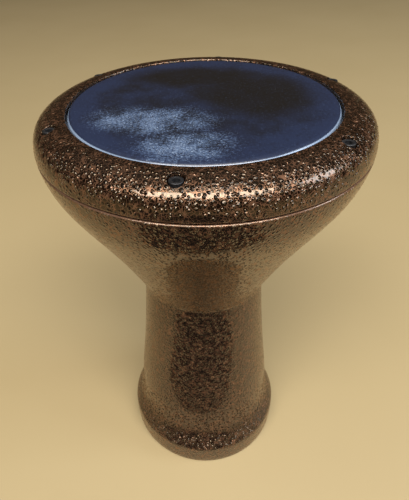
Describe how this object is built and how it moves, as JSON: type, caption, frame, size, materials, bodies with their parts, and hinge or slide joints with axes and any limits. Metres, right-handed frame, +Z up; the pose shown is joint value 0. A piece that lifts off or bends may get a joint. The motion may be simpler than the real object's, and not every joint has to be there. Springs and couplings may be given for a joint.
{
  "type": "goblet drum",
  "caption": "Goblet drum (darbuka): cast metal shell with bowl, neck and bell foot, rounded tuning ring with recessed cap screws, translucent film head in a metal hoop.",
  "frame": {"origin": "centre of the foot's rim, on the surface that the drum stands on", "axes": "+Z up along the drum's axis to the head; -Y is the front, where the first tuning screw is"},
  "size_m": [0.28, 0.28, 0.426],
  "materials": {
    "coat": "cast aluminium under a glossy copper-vein hammertone powder coat, near-black with copper flecks",
    "film": "translucent slate-blue polyester drum film, glossy, with a pale haze where it has been played",
    "hoop": "rolled aluminium channel, satin",
    "black_steel": "black-oxide steel, satin",
    "steel": "zinc-plated steel"
  },
  "bodies": {
    "goblet": {"shell": "coat", "head_film": "film", "thread_insert_1": "steel", "thread_insert_2": "steel", "thread_insert_3": "steel", "thread_insert_4": "steel", "thread_insert_5": "steel", "thread_insert_6": "steel"},
    "ring_assembly": {"tuning_ring": "coat", "head_hoop": "hoop", "screw_washer_1": "black_steel", "screw_washer_2": "black_steel", "screw_washer_3": "black_steel", "screw_washer_4": "black_steel", "screw_washer_5": "black_steel", "screw_washer_6": "black_steel"},
    "screw_1": {"tuning_screw_1": "black_steel"},
    "screw_2": {"tuning_screw_2": "black_steel"},
    "screw_3": {"tuning_screw_3": "black_steel"},
    "screw_4": {"tuning_screw_4": "black_steel"},
    "screw_5": {"tuning_screw_5": "black_steel"},
    "screw_6": {"tuning_screw_6": "black_steel"}
  },
  "joints": [
    {"name": "ring_travel", "type": "slide", "parent": "goblet", "child": "ring_assembly", "axis": [0, 0, -1], "range_m": [-0.002, 0.001]},
    {"name": "screw_1_turn", "type": "hinge", "parent": "ring_assembly", "child": "screw_1", "pos_m": [0, -0.125, 0.4], "axis": [0, 0, -1], "range_deg": [-720, 360]},
    {"name": "screw_2_turn", "type": "hinge", "parent": "ring_assembly", "child": "screw_2", "pos_m": [0.10825, -0.0625, 0.4], "axis": [0, 0, -1], "range_deg": [-720, 360]},
    {"name": "screw_3_turn", "type": "hinge", "parent": "ring_assembly", "child": "screw_3", "pos_m": [0.10825, 0.0625, 0.4], "axis": [0, 0, -1], "range_deg": [-720, 360]},
    {"name": "screw_4_turn", "type": "hinge", "parent": "ring_assembly", "child": "screw_4", "pos_m": [0, 0.125, 0.4], "axis": [0, 0, -1], "range_deg": [-720, 360]},
    {"name": "screw_5_turn", "type": "hinge", "parent": "ring_assembly", "child": "screw_5", "pos_m": [-0.10825, 0.0625, 0.4], "axis": [0, 0, -1], "range_deg": [-720, 360]},
    {"name": "screw_6_turn", "type": "hinge", "parent": "ring_assembly", "child": "screw_6", "pos_m": [-0.10825, -0.0625, 0.4], "axis": [0, 0, -1], "range_deg": [-720, 360]}
  ],
  "couplings": [
    {"joint": "screw_1_turn", "follows": "ring_travel", "rad_per_m": 6283.2},
    {"joint": "screw_2_turn", "follows": "ring_travel", "rad_per_m": 6283.2},
    {"joint": "screw_3_turn", "follows": "ring_travel", "rad_per_m": 6283.2},
    {"joint": "screw_4_turn", "follows": "ring_travel", "rad_per_m": 6283.2},
    {"joint": "screw_5_turn", "follows": "ring_travel", "rad_per_m": 6283.2},
    {"joint": "screw_6_turn", "follows": "ring_travel", "rad_per_m": 6283.2}
  ]
}
